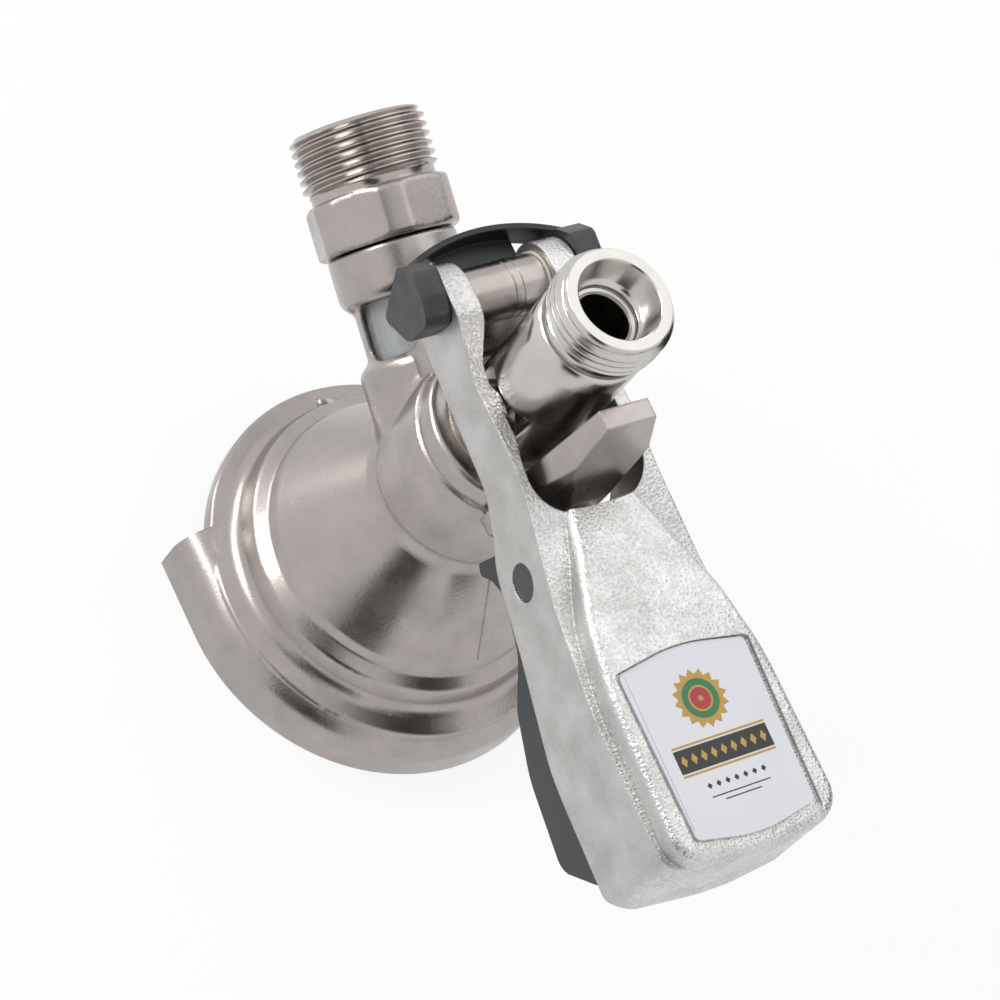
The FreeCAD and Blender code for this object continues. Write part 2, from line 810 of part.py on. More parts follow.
def nipple_inserts():
    ring = S.sight_bore_radius - S.running_gap - S.nipple_ring_wire
    along_gas_axis(o_ring("nipple_o_ring", ring, S.nipple_ring_groove, S.nipple_ring_wire))
    seat = S.gas_thread_end - S.valve_seat_depth
    outer = S.valve_seat_radius - S.running_gap
    flange_top = seat + S.valve_flange
    throat = outer - S.valve_lip_width
    tip = seat + S.valve_tip
    along_gas_axis(turned_piece("lip_valve", [
        (throat - S.valve_wall, seat + S.stack_gap),
        (outer, seat + S.stack_gap),
        (outer, flange_top),
        (throat, flange_top),
        (throat, seat + S.valve_throat),
        (S.valve_tip_radius, tip),
        (S.valve_hole_radius, tip),
        (S.valve_hole_radius, tip - S.valve_wall),
        (throat - S.valve_wall, seat + S.valve_throat),
    ]))
    along_gas_axis(turned_piece("lip_valve_ring", tube_corners(
        outer - 1.6, outer, flange_top + S.stack_gap, flange_top + S.stack_gap + S.valve_flange)))


def lever_plan():
    """Half outline of the lever seen from above."""
    back = -S.hinge_back - S.eye_radius
    return [
        (back - 1, S.arm_half_width),
        (S.arm_end, S.arm_half_width, 40),
        (S.grip_start, S.lever_half_width, 40),
        (S.lever_end, S.lever_half_width, 4.2),
        (S.lever_end + S.lever_bulge, 4.0, 40),
    ]


def panel_plan():
    """Half outline of the raised bottle-shaped panel seen from above."""
    end = S.lever_end + S.panel_overhang
    return [
        (S.fork_front - 4, S.panel_neck_half_width - 1.0),
        (S.panel_neck_x, S.panel_neck_half_width + 2.8, 20),
        (S.panel_shoulder_x, S.panel_half_width - 3.3, 30),
        (S.panel_side_x, S.panel_half_width - 0.9, 50),
        (end, S.panel_half_width, 6.5),
        (end + S.lever_bulge, 4.0, 40),
    ]


def handle_casting():
    body = new_body("handle_casting")
    lever_blank(body)
    raised_panel(body)
    lever_hollow(body)
    lever_fork(body)
    lever_holes(body)
    label_recess(body)


def lever_blank(body):
    floor = S.lever_base - 4
    sketch = outline(new_sketch(body, "XY_Plane", lift=floor), mirrored(lever_plan()))
    top = S.hinge_level + S.eye_radius
    pad(body, sketch, top + 2 - floor)
    back = -S.hinge_back - S.eye_radius
    edge = S.lever_end + 6
    above = [
        (back - 4, top + 4),
        (back - 4, S.hinge_level),
        (back, S.hinge_level),
        (back, top, S.eye_radius * 0.98),
        (-S.hinge_back + 5.0, top, 6),
        (S.arm_top_start, S.arm_top, 12),
        (S.arm_top_end, S.arm_top, 16),
        (S.lever_shoulder_start, S.lever_shoulder_top + 1.2, 20),
        (edge, S.lever_shoulder_top),
        (edge, top + 4),
    ]
    pocket(body, outline(new_sketch(body, "XZ_Plane"), above), 3 * S.lever_half_width, symmetric=True)
    below = [
        (back - 4, floor - 2),
        (back - 4, S.hinge_level),
        (back, S.hinge_level),
        (back, S.hinge_level - S.eye_radius, S.eye_radius * 0.98),
        (-S.hinge_back + 4, S.hinge_level - S.eye_radius, 8),
        (S.arm_top_start, S.arm_base_start, 20),
        (S.arm_top_end, S.arm_base_end, 12),
        (S.cheek_x, S.cheek_level, 12),
        (S.grip_base_x, S.grip_base_level, 30),
        (S.grip_middle_x, S.grip_middle_level, 60),
        (S.lever_end - 4, S.lever_base, 3.0),
        (edge, S.lever_base + 8),
        (edge, floor - 2),
    ]
    pocket(body, outline(new_sketch(body, "XZ_Plane"), below), 3 * S.lever_half_width, symmetric=True)


def raised_panel(body):
    floor = S.lever_shoulder_top - 0.4
    sketch = outline(new_sketch(body, "XY_Plane", lift=floor), mirrored(panel_plan()))
    pad(body, sketch, S.panel_top + 2 - floor)
    above = [
        (S.fork_front - 8, S.panel_top + 4),
        (S.fork_front - 8, S.panel_top - 0.8),
        (S.panel_neck_x + 1, S.panel_top, 30),
        (S.label_start, S.panel_top, 60),
        (S.lever_end + 4, S.panel_end_top),
        (S.lever_end + 4, S.panel_top + 4),
    ]
    pocket(body, outline(new_sketch(body, "XZ_Plane"), above), 3 * S.lever_half_width, symmetric=True)
    rounding(body, S.panel_edge, top_edge)


def top_edge(box):
    """Whether an edge's box lies along the rim of the raised panel's top."""
    high = box.ZMin > S.panel_end_top.value - 0.3
    ahead = box.XMax > S.fork_front.value
    at_side = max(abs(box.YMin), abs(box.YMax)) > S.panel_neck_half_width.value - 1.5
    across = box.XLength < 0.05 and box.XMax < S.lever_end.value
    return high and ahead and not across and (at_side or box.XMin > S.lever_end.value)


def lever_hollow(body):
    floor = S.lever_base - 2
    wall = S.lever_wall
    wide = [
        (S.hollow_start, S.arm_half_width - wall + 0.2),
        (S.panel_neck_x + 1, S.arm_half_width - wall + 0.9, 20),
        (S.grip_start, S.lever_half_width - wall, 40),
        (S.lever_end - wall, S.lever_half_width - wall, 4),
    ]
    sketch = outline(new_sketch(body, "XY_Plane", lift=floor), mirrored(wide))
    pocket(body, sketch, S.hollow_top - floor, upwards=True)
    narrow = [
        (S.panel_hollow_start, S.panel_hollow_half_width, 4),
        (S.lever_end - 6, S.panel_hollow_half_width, 4),
    ]
    sketch = outline(new_sketch(body, "XY_Plane", lift=floor), mirrored(narrow))
    pocket(body, sketch, S.panel_hollow_top - floor, upwards=True)
    hub_room = [
        (S.hollow_start, S.trigger_half_width + 0.4),
        (S.hub_room_end, S.trigger_half_width + 0.4, 2),
    ]
    sketch = outline(new_sketch(body, "XY_Plane", lift=floor), mirrored(hub_room))
    pocket(body, sketch, S.hub_room_top - floor, upwards=True)


def lever_fork(body):
    gap = S.barrel_half_length + S.washer_thickness + 3 * S.washer_gap
    half = [
        (-S.hinge_back - S.eye_radius - 4, gap),
        (-S.hinge_back + S.eye_radius, gap, 6),
        (-6.5, S.arm_gap_half),
        (9.0, S.arm_gap_half),
        (13.0, S.fork_half_width, 3),
        (S.fork_front - 0.6, S.fork_half_width, S.fork_corner),
        (S.fork_front, 1.5),
    ]
    sketch = outline(new_sketch(body, "XY_Plane", lift=S.lever_base - 4), mirrored(half))
    pocket(body, sketch, 60, upwards=True)


def lever_holes(body):
    wide = 3 * S.lever_half_width
    hinge = circle(new_sketch(body, "XZ_Plane"), -S.hinge_back, S.hinge_level,
                   S.hinge_pin_radius + S.running_gap)
    pocket(body, hinge, wide, symmetric=True)
    pivot = circle(new_sketch(body, "XZ_Plane"), S.trigger_pivot_x, S.trigger_pivot_level,
                   S.trigger_pin_radius + S.press_gap)
    pocket(body, pivot, wide, symmetric=True)
    shank = circle(new_sketch(body, "XZ_Plane"), S.stud_forward - S.hinge_back, S.hinge_level - S.stud_drop,
                   S.stud_shank_radius + S.press_gap)
    pocket(body, shank, 2 * (S.arm_gap_half + S.stud_shank_length), symmetric=True)


def label_plan(head_gap, side_gap, foot_gap):
    """Half outline of the label, grown by a gap at its head, its sides and its foot."""
    start = S.label_start - head_gap
    end = S.label_start + S.label_length + foot_gap
    return [
        (start - S.label_bulge, 3.0, S.label_arc),
        (start, S.label_half_width + side_gap, S.label_corner),
        (end, S.label_end_half_width + side_gap, S.label_corner),
        (end + S.label_bulge, 3.0, S.label_arc),
    ]


def panel_slope():
    """Rise of the panel's top per millimetre along the lever, from the label to the end."""
    run = S.lever_end + 4 - S.label_start
    return (S.panel_end_top - S.panel_top) / run


def sloped_sketch(body, depth):
    """A sketch on the panel's sloping top, sunk by a depth."""
    slope = panel_slope().value
    height = S.panel_top.value - S.label_start.value * slope - depth.value
    tilt = FreeCAD.Rotation(Vector(0, -1, 0), math.degrees(math.atan(slope)))
    return new_sketch(body, "XY_Plane", offset=FreeCAD.Placement(Vector(0, 0, height), tilt))


def label_recess(body):
    field = label_plan(S.label_gap, S.label_side_margin, S.label_foot_margin)
    sketch = outline(sloped_sketch(body, S.label_depth), mirrored(field))
    pocket(body, sketch, S.label_depth + 2, upwards=True)


def label_plate():
    body = new_body("label_plate")
    none = as_size(0)
    sketch = outline(sloped_sketch(body, S.label_depth), mirrored(label_plan(none, none, none)))
    pad(body, sketch, S.label_thickness)


def drive_studs():
    """Round studs on the arms' inner faces, which carry the probe up and down."""
    x = S.stud_forward - S.hinge_back
    z = S.hinge_level - S.stud_drop
    face = S.arm_gap_half
    tip = S.probe_radius - S.drive_slot_depth + 0.3
    for label, side in (("drive_stud_right", 1), ("drive_stud_left", -1)):
        body = new_body(label)
        head = circle(new_sketch(body, "XZ_Plane", lift=-side * face), x, z, S.stud_radius)
        pad(body, head, face - tip, backwards=side < 0)
        shank = circle(new_sketch(body, "XZ_Plane", lift=-side * face), x, z, S.stud_shank_radius)
        pad(body, shank, S.stud_shank_length - 0.05, backwards=side > 0)


def hinge_pieces():
    x = -S.hinge_back
    body = new_body("hinge_pin")
    pin = circle(new_sketch(body, "XZ_Plane"), x, S.hinge_level, S.hinge_pin_radius)
    pad(body, pin, 2 * (S.arm_half_width + S.hinge_pin_overhang), symmetric=True)
    for label, side in (("hinge_washer_right", 1), ("hinge_washer_left", -1)):
        body = new_body(label)
        start = -side * (S.barrel_half_length + S.washer_gap)
        ring = circle(new_sketch(body, "XZ_Plane", lift=start), x, S.hinge_level, S.barrel_radius + 0.3)
        circle(ring, x, S.hinge_level, S.hinge_pin_radius + S.running_gap)
        pad(body, ring, S.washer_thickness, backwards=side > 0)


def hinge_clip():
    """One plastic piece: a cap over each end of the hinge pin, and a thin strap behind the hinge."""
    body = new_body("hinge_clip")
    inside = S.arm_half_width + S.clip_gap
    hinge_strap(body)
    x = -S.hinge_back
    cap = [
        (x - 7.4, S.hinge_level + 4.6, 1.0),
        (x - 2.6, S.hinge_level - 6.6, 1.5),
        (x + 4.6, S.hinge_level - 2.6, 2.5),
        (x + 5.6, S.hinge_level + 5.6, 3.5),
        (x + 0.6, S.hinge_level + 7.6, 3.0),
        (x - 4.0, S.hinge_level + 8.4, 2.0),
    ]
    for side in (1, -1):
        face = outline(new_sketch(body, "XZ_Plane", lift=-side * inside), cap)
        pad(body, face, S.clip_cap_thickness, backwards=side > 0)
        socket = circle(new_sketch(body, "XZ_Plane", lift=-side * inside), x, S.hinge_level,
                        S.hinge_pin_radius + S.running_gap)
        depth = S.hinge_pin_overhang - S.clip_gap + 0.2
        pocket(body, socket, depth, upwards=side < 0)


def hinge_strap(body):
    """A band on edge that bows round the back of the hinge, and a web from it to the barrel."""
    low = S.clip_strap_bottom
    centre = S.clip_strap_radius - S.clip_strap_back
    ring = circle(new_sketch(body, "XY_Plane", lift=low), centre, 0, S.clip_strap_radius)
    circle(ring, centre, 0, S.clip_strap_radius - S.clip_strap_thickness)
    pad(body, ring, S.clip_strap_top - low)
    front = -S.hinge_back - S.clip_strap_setback
    away = 3 * S.clip_strap_radius
    half = S.clip_strap_radius + 2
    rest = [
        (front, -half),
        (away, -half),
        (away, half),
        (front, half),
    ]
    pocket(body, outline(new_sketch(body, "XY_Plane", lift=low), rest), away, upwards=True)
    edge = -S.hinge_back - S.barrel_radius - S.clip_gap
    back = -S.clip_strap_back + S.clip_strap_thickness / 2
    web = [
        (back, -S.barrel_half_length),
        (edge, -S.barrel_half_length),
        (edge, S.barrel_half_length),
        (back, S.barrel_half_length),
    ]
    pad(body, outline(new_sketch(body, "XY_Plane", lift=low), web), S.clip_web_thickness)


def trigger():
    body = new_body("trigger")
    x = S.trigger_pivot_x
    z = S.trigger_pivot_level
    hub = S.trigger_hub_radius
    corners = [
        (x - hub, z + hub, hub * 0.97),
        (x + hub, z + hub, hub * 0.97),
        (S.trigger_bend_x - 1.5, z - 4.0, 8),
        (S.trigger_palm_x + 4.0, z - 10.0, 20),
        (S.trigger_tail_x, S.trigger_tail_level, 2),
        (S.trigger_tail_x - 1.8, S.trigger_heel_level + 9.4, 4),
        (S.trigger_heel_x, S.trigger_heel_level, 4),
        (S.trigger_palm_x, S.trigger_palm_level, 20),
        (S.trigger_bend_x, S.trigger_bend_level, 8),
        (S.trigger_throat_x, S.trigger_throat_level, 10),
        (S.trigger_nose_x + 6.4, S.trigger_nose_top - 3.5, 3),
        (S.trigger_nose_x + 2.8, S.trigger_nose_top - 5.1, 2),
        (S.trigger_nose_x + 0.6, S.trigger_nose_top - 7.7, 0.8),
        (S.trigger_nose_x - 1.4, S.trigger_nose_top - 6.5, 0.5),
        (S.trigger_nose_x, S.trigger_nose_top, 0.4),
        (x - hub, S.trigger_nose_top + 1.7, 1.0),
    ]
    pad(body, outline(new_sketch(body, "XZ_Plane"), corners), 2 * S.trigger_half_width, symmetric=True)
    slot = [
        (x - hub - 2, z - 7.5),
        (x + 7, z - 7.5),
        (x + 7, z + hub + 2),
        (x - hub - 2, z + hub + 2),
    ]
    pocket(body, outline(new_sketch(body, "XZ_Plane"), slot), 2 * S.trigger_slot_half, symmetric=True)
    bore = circle(new_sketch(body, "XZ_Plane"), x, z, S.trigger_pin_radius - 1.0 + S.running_gap)
    pocket(body, bore, 3 * S.trigger_half_width, symmetric=True)
    cup = [
        (S.trigger_bend_x - 4.5, S.trigger_throat_level - 2.2),
        (S.trigger_heel_x - 1.6, S.trigger_heel_level + 7.8),
        (S.trigger_tail_x - 6.2, S.trigger_tail_level + 9.0),
        (S.trigger_bend_x + 1.5, S.trigger_tail_level + 19.0),
    ]
    width = 2 * (S.trigger_half_width - S.trigger_wall)
    pocket(body, outline(new_sketch(body, "XZ_Plane"), cup), width, symmetric=True)


def trigger_fittings():
    x = S.trigger_pivot_x
    z = S.trigger_pivot_level
    body = new_body("trigger_pin")
    reach = S.trigger_pin_half_length
    head = S.arm_half_width - S.lever_wall + 0.5
    slim = circle(new_sketch(body, "XZ_Plane"), x, z, S.trigger_pin_radius - 1.0)
    pad(body, slim, 2 * (head + 0.5), symmetric=True)
    for side in (1, -1):
        cap = circle(new_sketch(body, "XZ_Plane", lift=-side * head), x, z, S.trigger_pin_radius)
        pad(body, cap, reach - head, backwards=side > 0)
    body = new_body("trigger_spring")
    inner = S.trigger_pin_radius - 1.0 + 0.3
    coil = circle(new_sketch(body, "XZ_Plane"), x, z, S.spring_radius - 1.6)
    circle(coil, x, z, inner)
    pad(body, coil, 2 * S.spring_half_length, symmetric=True)


def wrong_objects():
    return [item.Name for item in doc.Objects if "Invalid" in item.State or "Error" in item.State]


body_casting()
keg_seal()
guide_bush()
probe_tube()
probe_seals()
gas_nipple(sight_glass())
nipple_inserts()
handle_casting()
label_plate()
drive_studs()
hinge_pieces()
hinge_clip()
trigger()
trigger_fittings()
doc.recompute()

if wrong_objects():
    raise RuntimeError("objects that failed: %s" % wrong_objects())
for part in parts:
    if part.Shape.isNull() or not part.Shape.isValid():
        raise RuntimeError("no valid shape: %s" % part.Label)
os.makedirs("parts", exist_ok=True)
for part in parts:
    part.Shape.exportStep("parts/%s.step" % part.Label)
    print("%-20s %9.1f mm3, %d solid" % (part.Label, part.Shape.Volume, len(part.Shape.Solids)))
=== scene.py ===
import json
import math

import bmesh
import bpy
from mathutils import Matrix, Vector


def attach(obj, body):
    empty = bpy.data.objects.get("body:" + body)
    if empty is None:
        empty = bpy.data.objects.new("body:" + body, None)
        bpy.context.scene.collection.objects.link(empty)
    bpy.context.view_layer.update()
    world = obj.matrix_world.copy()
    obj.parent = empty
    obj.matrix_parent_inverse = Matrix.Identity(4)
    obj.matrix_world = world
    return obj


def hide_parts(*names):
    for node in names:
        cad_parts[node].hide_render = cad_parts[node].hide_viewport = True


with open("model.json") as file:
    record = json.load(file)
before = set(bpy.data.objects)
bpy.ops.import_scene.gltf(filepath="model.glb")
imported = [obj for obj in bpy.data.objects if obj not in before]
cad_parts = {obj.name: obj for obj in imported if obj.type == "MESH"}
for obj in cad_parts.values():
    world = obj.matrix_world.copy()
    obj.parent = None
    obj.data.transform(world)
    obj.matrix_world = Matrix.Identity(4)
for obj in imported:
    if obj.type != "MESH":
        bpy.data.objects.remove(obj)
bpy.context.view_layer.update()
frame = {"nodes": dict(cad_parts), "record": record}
nodes = frame["nodes"]
record = frame["record"]
mounts = {mount["name"]: mount for mount in record["mounts"]}
joints = {joint["name"]: joint for joint in record["behaviour"]["joints"]}
slots = {subpart["node"]: subpart["material_slot"] for subpart in record["subparts"]}
MM = 0.001

# The gas inlet's own axis rises out of the body. Its levels count from where it meets the probe's plane,
# and gas_place turns +Z onto it
gas_direction = Vector(mounts["gas_inlet"]["axis"]).normalized()
gas_mouth = Vector(mounts["gas_inlet"]["pos_m"])
gas_origin = gas_mouth - gas_direction * (gas_mouth.x / gas_direction.x)
gas_turn = Vector((0, 0, 1)).rotation_difference(gas_direction)
upright = Matrix.Scale(MM, 4)
gas_place = Matrix.Translation(gas_origin) @ gas_turn.to_matrix().to_4x4() @ upright


# Materials

# Where most of a noise pattern's values lie
NOISE_LOW, NOISE_HIGH = 0.3, 0.7
SOCKETS = {"colour": "Base Color", "metal": "Metallic", "rough": "Roughness", "ior": "IOR",
           "clear": "Transmission Weight"}


def linear(hex_colour):
    """sRGB hex text as linear red, green, blue and alpha."""
    values = [int(hex_colour[i:i + 2], 16) / 255 for i in (1, 3, 5)]
    return [v / 12.92 if v <= 0.04045 else ((v + 0.055) / 1.055) ** 2.4 for v in values] + [1.0]


def add_node(tree, kind, settings=None, links=None):
    """Adds a shader node, sets its properties or input sockets, and links outputs into its inputs."""
    node = tree.nodes.new(kind)
    for name, value in (settings or {}).items():
        if isinstance(name, str) and hasattr(node, name) and name not in node.inputs:
            setattr(node, name, value)
        else:
            node.inputs[name].default_value = value
    for name, source in (links or {}).items():
        tree.links.new(source, node.inputs[name])
    return node


def new_material(name, **shader):
    """A material with a Principled shader; the keywords set the shader's own sockets."""
    material = bpy.data.materials.new(name)
    material.use_nodes = True
    tree = material.node_tree
    tree.nodes.clear()
    principled = add_node(tree, "ShaderNodeBsdfPrincipled", {SOCKETS[k]: v for k, v in shader.items()})
    add_node(tree, "ShaderNodeOutputMaterial", links={"Surface": principled.outputs[0]})
    return material, tree, principled


def drifting_tone(tree, principled, source, light, dark, rough, spread):
    """Lets a pattern swing the colour between two tones, and the gloss about its middle."""
    tone = add_node(tree, "ShaderNodeMix", {"data_type": "RGBA", 6: linear(dark), 7: linear(light)},
                    {0: source})
    tree.links.new(tone.outputs[2], principled.inputs["Base Color"])
    gloss = add_node(tree, "ShaderNodeMapRange", {"From Min": NOISE_LOW, "From Max": NOISE_HIGH,
                                                  "To Min": rough + spread, "To Max": rough - spread},
                     {"Value": source})
    tree.links.new(gloss.outputs[0], principled.inputs["Roughness"])


def raised_grain(tree, principled, pattern, height, edge):
    """Raises a pattern as fine relief, over edges that catch light as if rounded; sizes in millimetres."""
    bump = add_node(tree, "ShaderNodeBump", {"Strength": 1.0, "Distance": height * MM}, {"Height": pattern})
    if edge:
        soft = add_node(tree, "ShaderNodeBevel", {"samples": 4, "Radius": edge * MM})
        tree.links.new(soft.outputs[0], bump.inputs["Normal"])
    tree.links.new(bump.outputs[0], principled.inputs["Normal"])


def grained(name, light, dark, patch, grain, height, rough, spread, edge=0.0, **shader):
    """A surface with a fine grain, whose tone and gloss drift over patches; sizes in millimetres.

    Such grains are often 0.05 to 0.2 mm, too fine to show, so they are drawn at 0.25 mm or more.
    """
    material, tree, principled = new_material(name, **shader)
    place = add_node(tree, "ShaderNodeTexCoord").outputs["Object"]
    drift = add_node(tree, "ShaderNodeTexNoise", {"Scale": 1 / (patch * MM), "Detail": 4.0, "Roughness": 0.6},
                     {"Vector": place})
    drifting_tone(tree, principled, drift.outputs[0], light, dark, rough, spread)
    fine = add_node(tree, "ShaderNodeTexNoise", {"Scale": 1 / (grain * MM), "Detail": 3.0, "Roughness": 0.65},
                    {"Vector": place})
    raised_grain(tree, principled, fine.outputs[0], height, edge)
    return material


def turned(name, light, dark, groove, height, rough, spread, edge=0.0, about=None, **shader):
    """A turned surface: fine tool marks run round the axis, along its length and across its faces.

    The tool's feed is near 0.1 mm a turn, too fine to show, so the marks are drawn a little wider.
    """
    patch, mark_weight, evened = 6, 0.5, 0.67
    material, tree, principled = new_material(name, **shader)
    place = add_node(tree, "ShaderNodeTexCoord").outputs["Object"]
    if about:
        origin, turn = about
        inverse = turn.inverted()
        place = add_node(tree, "ShaderNodeMapping",
                         {"Rotation": inverse.to_euler(), "Location": -(inverse @ origin)},
                         {"Vector": place}).outputs[0]
    across = add_node(tree, "ShaderNodeVectorMath", {"operation": "MULTIPLY", 1: (1, 1, 0)}, {0: place})
    radius = add_node(tree, "ShaderNodeVectorMath", {"operation": "LENGTH"}, {0: across.outputs[0]})
    axes = add_node(tree, "ShaderNodeSeparateXYZ", links={0: place})
    along = add_node(tree, "ShaderNodeMath", {"operation": "ADD"},
                     {0: radius.outputs["Value"], 1: axes.outputs[2]})
    marks = add_node(tree, "ShaderNodeTexNoise", {"noise_dimensions": "1D", "Scale": 1 / (groove * MM),
                                                  "Detail": 2.0, "Roughness": 0.7}, {"W": along.outputs[0]})
    patches = add_node(tree, "ShaderNodeTexNoise", {"Scale": 1 / (patch * MM), "Detail": 3.0},
                       {"Vector": place})
    both = add_node(tree, "ShaderNodeMath", {"operation": "MULTIPLY_ADD", 1: mark_weight},
                    {0: marks.outputs[0], 2: patches.outputs[0]})
    scaled = add_node(tree, "ShaderNodeMath", {"operation": "MULTIPLY", 1: evened}, {0: both.outputs[0]})
    drifting_tone(tree, principled, scaled.outputs[0], light, dark, rough, spread)
    raised_grain(tree, principled, marks.outputs[0], height, edge)
    return material


def blasted_zinc():
    """Zinc alloy, die cast and bead blasted: silver, sandy, sparkling.

    The beads leave dents of about 0.2 mm. They are drawn as coarse as the render needs to show them.
    """
    cloud, dent, dust, depth, edge = 8, 0.55, 0.9, 0.22, 0.5
    cloud_weight = 0.7
    # The outer side faces of the arms and the grip come smoother out of the die, with a finer grit
    side_start, side_full, side_grit = 0.72, 0.96, 0.28
    material, tree, principled = new_material("blasted_zinc_alloy", metal=1.0)
    place = add_node(tree, "ShaderNodeTexCoord")
    drift = add_node(tree, "ShaderNodeTexNoise", {"Scale": 1 / (cloud * MM), "Detail": 3.0},
                     {"Vector": place.outputs["Object"]})
    dents = add_node(tree, "ShaderNodeTexVoronoi", {"Scale": 1 / (dent * MM), "Randomness": 1.0},
                     {"Vector": place.outputs["Object"]})
    speckle = add_node(tree, "ShaderNodeTexNoise",
                       {"Scale": 1 / (dust * MM), "Detail": 4.0, "Roughness": 0.75},
                       {"Vector": place.outputs["Object"]})
    grit = add_node(tree, "ShaderNodeMath", {"operation": "MULTIPLY"},
                    {0: dents.outputs["Distance"], 1: speckle.outputs[0]})
    facing = add_node(tree, "ShaderNodeSeparateXYZ", links={0: place.outputs["Normal"]})
    sideways = add_node(tree, "ShaderNodeMath", {"operation": "ABSOLUTE"}, {0: facing.outputs[1]})
    sanded = add_node(tree, "ShaderNodeMapRange", {"From Min": side_start, "From Max": side_full,
                                                   "To Min": 1.0, "To Max": side_grit},
                      {"Value": sideways.outputs[0]})
    speck = add_node(tree, "ShaderNodeMath", {"operation": "MULTIPLY"},
                     {0: grit.outputs[0], 1: sanded.outputs[0]})
    both = add_node(tree, "ShaderNodeMath", {"operation": "MULTIPLY_ADD", 1: cloud_weight},
                    {0: drift.outputs[0], 2: speck.outputs[0]})
    drifting_tone(tree, principled, both.outputs[0], "#E2E2E1", "#9D9A97", rough=0.40, spread=0.10)
    raised_grain(tree, principled, speck.outputs[0], depth, edge)
    return material


def handled_acetal():
    """Acetal, injection moulded and smooth: black strap, charcoal caps that have greyed with handling."""
    # The caps are what lies this far out from the middle, in millimetres
    cap_start, cap_full = 14.4, 15.4
    greyest, wear = 0.8, 3
    material = grained("moulded_acetal", "#151618", "#0E0F11", patch=10.0, grain=0.5, height=0.006,
                       rough=0.40, spread=0.05, edge=0.35, ior=1.48)
    tree = material.node_tree
    principled = next(node for node in tree.nodes if node.type == "BSDF_PRINCIPLED")
    place = add_node(tree, "ShaderNodeTexCoord")
    axes = add_node(tree, "ShaderNodeSeparateXYZ", links={0: place.outputs["Object"]})
    outward = add_node(tree, "ShaderNodeMath", {"operation": "ABSOLUTE"}, {0: axes.outputs[1]})
    on_cap = add_node(tree, "ShaderNodeMapRange", {"From Min": cap_start * MM, "From Max": cap_full * MM,
                                                   "To Min": 0.0, "To Max": greyest},
                      {"Value": outward.outputs[0]})
    worn = add_node(tree, "ShaderNodeTexNoise", {"Scale": 1 / (wear * MM), "Detail": 5.0, "Roughness": 0.7},
                    {"Vector": place.outputs["Object"]})
    greyed = add_node(tree, "ShaderNodeMath", {"operation": "MULTIPLY"},
                      {0: on_cap.outputs[0], 1: worn.outputs[0]})
    clean = principled.inputs["Base Color"].links[0].from_socket
    tone = add_node(tree, "ShaderNodeMix", {"data_type": "RGBA", 7: linear("#505355")},
                    {0: greyed.outputs[0], 6: clean})
    tree.links.new(tone.outputs[2], principled.inputs["Base Color"])
    return material


def print_ink(name, light, dark):
    """Screen-printed ink under the label's gloss film: flat colour with a faint ink mottle."""
    return grained(name, light, dark, patch=1.2, grain=0.6, height=0.002, rough=0.22, spread=0.02, ior=1.5)


# Stainless steel, investment cast, shot blasted and passivated: satin, warm grey, faintly clouded
cast_steel = grained("cast_stainless_satin", "#B8B1AD", "#958E8A", patch=9.0, grain=0.6, height=0.025,
                     rough=0.27, spread=0.06, edge=0.6, metal=1.0)
# The same steel turned on a lathe: brighter, with fine rings round the probe
turned_steel = turned("turned_stainless", "#D2D0CC", "#B5B1AC", groove=0.22, height=0.004,
                      rough=0.20, spread=0.05, edge=0.15, metal=1.0)
# The gas inlet's thread is cut in the casting, so its rings run round the inlet's own axis
thread_steel = turned("thread_cut_stainless", "#C4BDB9", "#8F8782", groove=0.16, height=0.004,
                      rough=0.20, spread=0.06, about=(gas_origin, gas_turn), metal=1.0)
blasted_alloy = blasted_zinc()
# Glass-filled nylon, injection moulded in a spark-eroded tool: dark grey and matte
moulded_nylon = grained("moulded_nylon", "#363739", "#2A2B2D", patch=12.0, grain=0.40, height=0.02,
                        rough=0.52, spread=0.05, edge=0.5, ior=1.53)
black_acetal = handled_acetal()
# The trigger's pin is moulded acetal too, a shade lighter than the clip
pin_acetal = grained("pin_acetal", "#3E4043", "#303235", patch=5.0, grain=0.4, height=0.006,
                     rough=0.42, spread=0.05, edge=0.3, ior=1.48)
# Self-adhesive vinyl under a clear gloss film: white, smooth, mirror-like at low angles
label_vinyl = grained("gloss_vinyl", "#E6E7EC", "#DFE0E6", patch=14.0, grain=1.8, height=0.004,
                      rough=0.14, spread=0.02, ior=1.5)
# EPDM rubber, compression moulded: black with a dull sheen
seal_rubber = grained("moulded_epdm", "#1A1A1B", "#101011", patch=6.0, grain=0.25, height=0.008,
                      rough=0.48, spread=0.06, ior=1.52)
# Acetal, natural, turned from bar: warm white and waxy
bearing = turned("turned_acetal", "#D8D5CC", "#C9C5BA", groove=0.3, height=0.004,
                 rough=0.42, spread=0.05, edge=0.15, ior=1.48)
# Polycarbonate tube, extruded: clear, a little milky, with a faint unevenness
clear_tube = grained("extruded_polycarbonate", "#F8FAFB", "#EDF2F4", patch=8.0, grain=3.0, height=0.004,
                     rough=0.04, spread=0.01, clear=0.78, ior=1.585)
# Stainless spring wire, cold drawn: grey with a soft shine
drawn_wire = grained("drawn_spring_wire", "#A9A8A5", "#8E8D8A", patch=3.0, grain=0.3, height=0.006,
                     rough=0.28, spread=0.05, metal=1.0)
inks = [print_ink("ink_gold", "#C9A24A", "#B08A36"), print_ink("ink_black", "#1B1B1C", "#141415"),
        print_ink("ink_green", "#2E7D4F", "#256A42"), print_ink("ink_red", "#B5323A", "#9E2931"),
        print_ink("ink_grey", "#BFC1C6", "#B3B5BA")]

